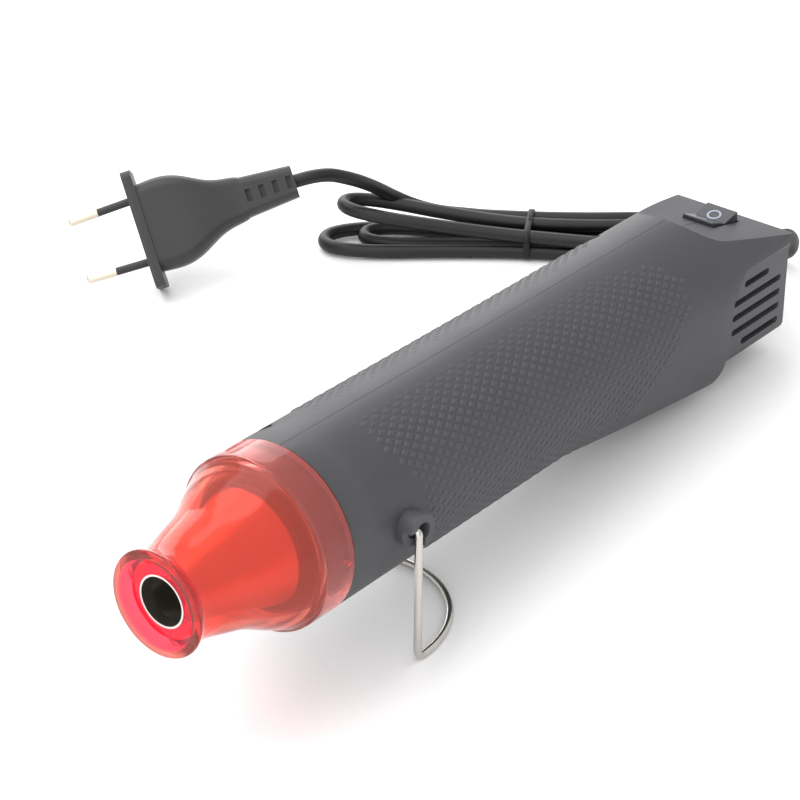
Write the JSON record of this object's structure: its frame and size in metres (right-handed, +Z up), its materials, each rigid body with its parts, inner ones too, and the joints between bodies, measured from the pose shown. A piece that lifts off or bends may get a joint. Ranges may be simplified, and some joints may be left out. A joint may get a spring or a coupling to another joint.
{
  "type": "embossing heat tool",
  "caption": "Cylindrical hot air embossing tool with a flared red nozzle guard, textured grip, folding wire stand, rear rocker switch and a mains cord with plug.",
  "frame": {"origin": "centre of the tool's bounding box in plan, on the surface that it stands on, without the free cord and the plug", "axes": "+X from the nozzle to the tail, +Y to the right side of the tool as held with its nozzle pointing away and its switch up, +Z up; the handle slopes down to the tail by 3.9 degrees"},
  "size_m": [0.2761, 0.1976, 0.0615],
  "materials": {
    "housing": "satin charcoal plastic with a fine grain",
    "guard": "translucent red plastic, satin inside",
    "screw_steel": "plated steel",
    "nozzle_steel": "bare stainless steel, warm tint",
    "dark_plastic": "black moulded plastic",
    "mica": "pale mica sheet",
    "coil_wire": "resistance wire",
    "aluminium": "drawn aluminium can",
    "magnet": "sintered and stacked iron",
    "brass": "bright brass",
    "board": "brown circuit board",
    "capacitor": "blue lacquer",
    "wire_sleeve": "glass braid sleeve",
    "rocker": "black switch plastic",
    "cord_pvc": "dark grey flexible vinyl",
    "stand_wire": "bright nickel plate",
    "tie": "dark plastic tie",
    "plug": "moulded dark grey vinyl",
    "pin_metal": "nickel plated brass"
  },
  "bodies": {
    "tool": {"housing_left": "housing", "housing_right": "housing", "housing_screws": "screw_steel", "nozzle_guard": "guard", "guard_pins": "screw_steel", "nozzle_cone": "nozzle_steel", "nose_ring": "dark_plastic", "element_tube": "nozzle_steel", "mica_sleeve": "mica", "mica_cross": "mica", "heating_coil": "coil_wire", "thermal_cutoff": "aluminium", "tube_ring": "dark_plastic", "fan_duct": "dark_plastic", "motor_mount": "dark_plastic", "motor_can": "screw_steel", "motor_magnets": "magnet", "motor_bushes": "brass", "motor_end_cap": "dark_plastic", "motor_terminals": "brass", "rectifier_board": "board", "rectifier_diodes": "dark_plastic", "filter_capacitor": "capacitor", "heater_leads": "wire_sleeve", "mains_wires": "wire_sleeve", "switch_body": "dark_plastic", "switch_terminals": "brass", "strain_relief": "cord_pvc", "inner_cord": "cord_pvc", "cord_clamp": "dark_plastic", "clamp_screws": "screw_steel", "cord_lead": "cord_pvc", "cord_hank": "cord_pvc", "cord_tie": "tie", "cord_plug_lead": "cord_pvc", "plug_body": "plug", "plug_pins": "pin_metal", "pin_sleeves": "plug"},
    "stand": {"wire_stand": "stand_wire"},
    "rocker": {"switch_rocker": "rocker"},
    "rotor": {"fan_impeller": "dark_plastic", "motor_shaft": "screw_steel", "motor_armature": "magnet"}
  },
  "joints": [
    {"name": "stand_fold", "type": "hinge", "parent": "tool", "child": "stand", "pos_m": [-0.06567, 0, 0.03712], "axis": [0, 1, 0], "range_deg": [0, 90]},
    {"name": "switch_rock", "type": "hinge", "parent": "tool", "child": "rocker", "pos_m": [0.09218, 0, 0.0356], "axis": [0, 1, 0], "range_deg": [0, 16]},
    {"name": "rotor_spin", "type": "hinge", "parent": "tool", "child": "rotor", "pos_m": [0.00027, 0, 0.03262], "axis": [0.9977, 0, -0.0682], "continuous": true}
  ]
}
